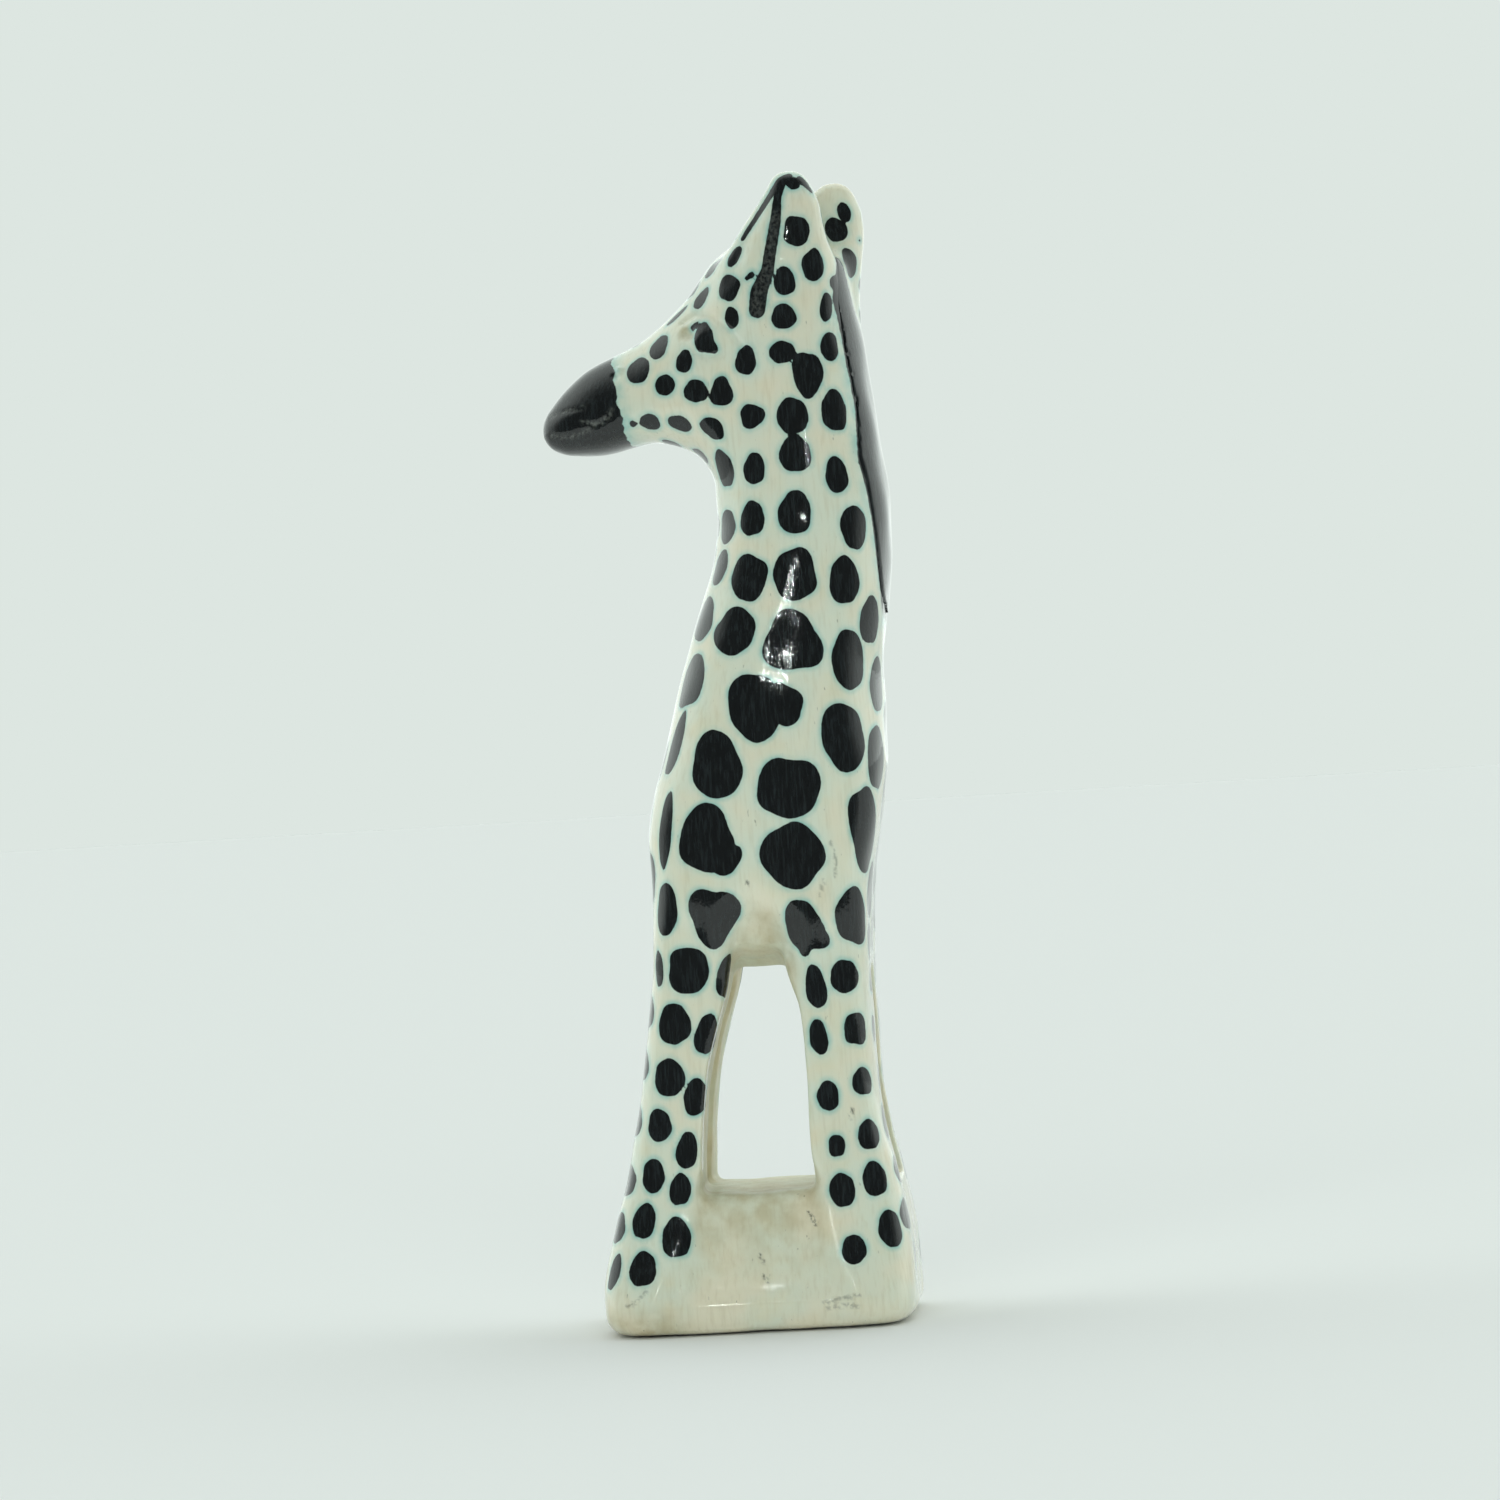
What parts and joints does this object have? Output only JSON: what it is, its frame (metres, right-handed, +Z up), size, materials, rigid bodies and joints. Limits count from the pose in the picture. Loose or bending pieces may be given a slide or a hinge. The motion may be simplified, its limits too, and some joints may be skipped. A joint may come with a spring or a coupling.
{
  "type": "carved giraffe statue",
  "caption": "Stylised standing giraffe carved in one with a thick rounded plinth, pale lacquered bone with dyed black spots, muzzle and mane; stands on a shelf as decoration.",
  "frame": {"origin": "middle of the plinth's flat underside, on the middle plane of the plinth", "axes": "+Z up, -X the way the giraffe faces, -Y its left side"},
  "size_m": [0.0453, 0.032, 0.15],
  "materials": {
    "bone": "gloss",
    "dyed_bone": "gloss"
  },
  "bodies": {
    "root": {"plinth": "bone", "fore_leg_left": "bone", "fore_leg_right": "bone", "hind_leg_left": "bone", "hind_leg_right": "bone", "trunk": "bone", "neck": "bone", "head": "bone", "ear_left": "bone", "ear_right": "bone", "mane": "dyed_bone", "muzzle": "dyed_bone"}
  },
  "joints": []
}
